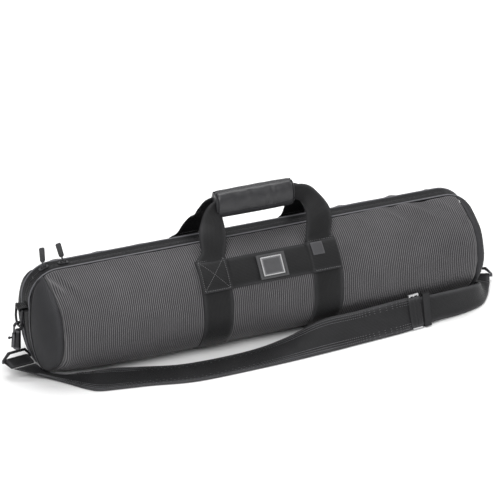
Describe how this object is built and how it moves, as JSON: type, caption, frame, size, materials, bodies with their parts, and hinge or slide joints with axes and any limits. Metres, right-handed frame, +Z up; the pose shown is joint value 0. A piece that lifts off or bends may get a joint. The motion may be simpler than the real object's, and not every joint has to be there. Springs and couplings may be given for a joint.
{
  "type": "telescope carry case",
  "caption": "Long padded tube case with a zip along its top, two webbing handles that meet in a padded grip, and a clip-on shoulder strap.",
  "frame": {"origin": "on the ground below the middle of the case", "axes": "+X along the tube, -Y to the front with the badge and strap, +Z up"},
  "size_m": [0.861, 0.2281, 0.256],
  "materials": {
    "ribbed_fabric": "ribbed weave",
    "end_fabric": "smooth weave",
    "zip_tape": "woven tape",
    "coil": "matte",
    "foam": "soft closed-cell foam",
    "grip_fabric": "smooth weave",
    "lining": "smooth",
    "webbing": "woven webbing",
    "hook_loop": "hook and loop",
    "moulded": "moulded",
    "badge": "satin",
    "dark_metal": "gloss black",
    "bright_metal": "polished"
  },
  "bodies": {
    "case": {"lower_shell": "ribbed_fabric", "lower_end_panels": "end_fabric", "lower_end_strips": "zip_tape", "lower_foam": "foam", "lower_lining": "lining", "lower_bands": "webbing", "ring_tab_left": "webbing", "ring_tab_right": "webbing", "strap_web": "webbing", "adjuster_web": "webbing", "tri_glide": "bright_metal", "strap_keeper": "webbing"},
    "front_flap": {"front_shell": "ribbed_fabric", "front_end_panels": "end_fabric", "front_foam": "foam", "front_lining": "lining", "front_tape": "zip_tape", "front_coil": "coil", "front_bands": "webbing", "cross_strap": "webbing", "badge_plate": "badge", "badge_frame": "bright_metal", "size_patch": "end_fabric"},
    "rear_flap": {"rear_shell": "ribbed_fabric", "rear_end_panels": "end_fabric", "rear_foam": "foam", "rear_lining": "lining", "rear_tape": "zip_tape", "rear_coil": "coil", "rear_bands": "webbing"},
    "front_handle": {"front_handle_web": "webbing", "front_grip": "grip_fabric", "hook_strip": "hook_loop"},
    "rear_handle": {"rear_handle_web": "webbing", "rear_grip": "grip_fabric", "loop_strip": "hook_loop"},
    "right_slider": {"right_slider": "dark_metal"},
    "right_pull": {"right_pull": "moulded"},
    "left_slider": {"left_slider": "dark_metal"},
    "left_pull": {"left_pull": "moulded"},
    "left_ring": {"left_d_ring": "dark_metal"},
    "left_clip": {"left_hook": "dark_metal"},
    "left_bolt": {"left_gate": "bright_metal"},
    "left_swivel": {"left_swivel": "dark_metal", "left_fold": "webbing"},
    "right_ring": {"right_d_ring": "dark_metal"},
    "right_clip": {"right_hook": "dark_metal"},
    "right_bolt": {"right_gate": "bright_metal"},
    "right_swivel": {"right_swivel": "dark_metal", "right_fold": "webbing"}
  },
  "joints": [
    {"name": "front_flap_fold", "type": "hinge", "parent": "case", "child": "front_flap", "pos_m": [0, -0.0874, 0.116], "axis": [1, 0, 0], "range_deg": [0, 50]},
    {"name": "rear_flap_fold", "type": "hinge", "parent": "case", "child": "rear_flap", "pos_m": [0, 0.0874, 0.116], "axis": [1, 0, 0], "range_deg": [-66, 0]},
    {"name": "front_handle_fold", "type": "hinge", "parent": "front_flap", "child": "front_handle", "pos_m": [0, -0.04965, 0.16863], "axis": [1, 0, 0], "range_deg": [0, 120]},
    {"name": "rear_handle_fold", "type": "hinge", "parent": "rear_flap", "child": "rear_handle", "pos_m": [0, 0.04965, 0.16863], "axis": [1, 0, 0], "range_deg": [-120, 0]},
    {"name": "right_zip_slide", "type": "slide", "parent": "front_flap", "child": "right_slider", "axis": [1, 0, 0], "range_m": [0, 0.647]},
    {"name": "left_zip_turn", "type": "hinge", "parent": "front_flap", "child": "left_slider", "pos_m": [-0.335, 0.00496, 0.12367], "axis": [0, 0.9914, -0.1305], "range_deg": [-58, 0]},
    {"name": "right_pull_swing", "type": "hinge", "parent": "right_slider", "child": "right_pull", "pos_m": [-0.319, 0.01213, 0.17815], "axis": [0, 0.9914, -0.1305], "range_deg": [-10, 80]},
    {"name": "left_pull_swing", "type": "hinge", "parent": "left_slider", "child": "left_pull", "pos_m": [-0.35262, 0.01175, 0.17528], "axis": [0, 0.9914, -0.1305], "range_deg": [-68, 10]},
    {"name": "left_ring_swing", "type": "hinge", "parent": "case", "child": "left_ring", "pos_m": [-0.397, 0.003, 0.115], "axis": [0, 1, 0], "range_deg": [0, 25]},
    {"name": "left_clip_swing", "type": "hinge", "parent": "left_ring", "child": "left_clip", "pos_m": [-0.3997, 0.003, 0.08412], "axis": [0, 1, 0], "range_deg": [0, 20]},
    {"name": "left_bolt_slide", "type": "slide", "parent": "left_clip", "child": "left_bolt", "axis": [0.0872, 0, 0.9962], "range_m": [-0.008, 0], "stiffness_N_per_m": 400, "springref_m": 0.004},
    {"name": "left_swivel_turn", "type": "hinge", "parent": "left_clip", "child": "left_swivel", "pos_m": [-0.40397, 0.003, 0.0353], "axis": [0.0872, 0, 0.9962], "range_deg": [-12, 12]},
    {"name": "right_ring_swing", "type": "hinge", "parent": "case", "child": "right_ring", "pos_m": [0.397, 0.003, 0.099], "axis": [0, -1, 0], "range_deg": [0, 25]},
    {"name": "right_clip_swing", "type": "hinge", "parent": "right_ring", "child": "right_clip", "pos_m": [0.3997, 0.003, 0.06812], "axis": [0, -1, 0], "range_deg": [0, 20]},
    {"name": "right_bolt_slide", "type": "slide", "parent": "right_clip", "child": "right_bolt", "axis": [-0.0872, 0, 0.9962], "range_m": [-0.008, 0], "stiffness_N_per_m": 400, "springref_m": 0.004},
    {"name": "right_swivel_turn", "type": "hinge", "parent": "right_clip", "child": "right_swivel", "pos_m": [0.40397, 0.003, 0.0193], "axis": [-0.0872, 0, 0.9962], "range_deg": [-12, 12]}
  ],
  "couplings": [
    {"joint": "rear_flap_fold", "follows": "front_flap_fold", "ratio": -1.32}
  ]
}
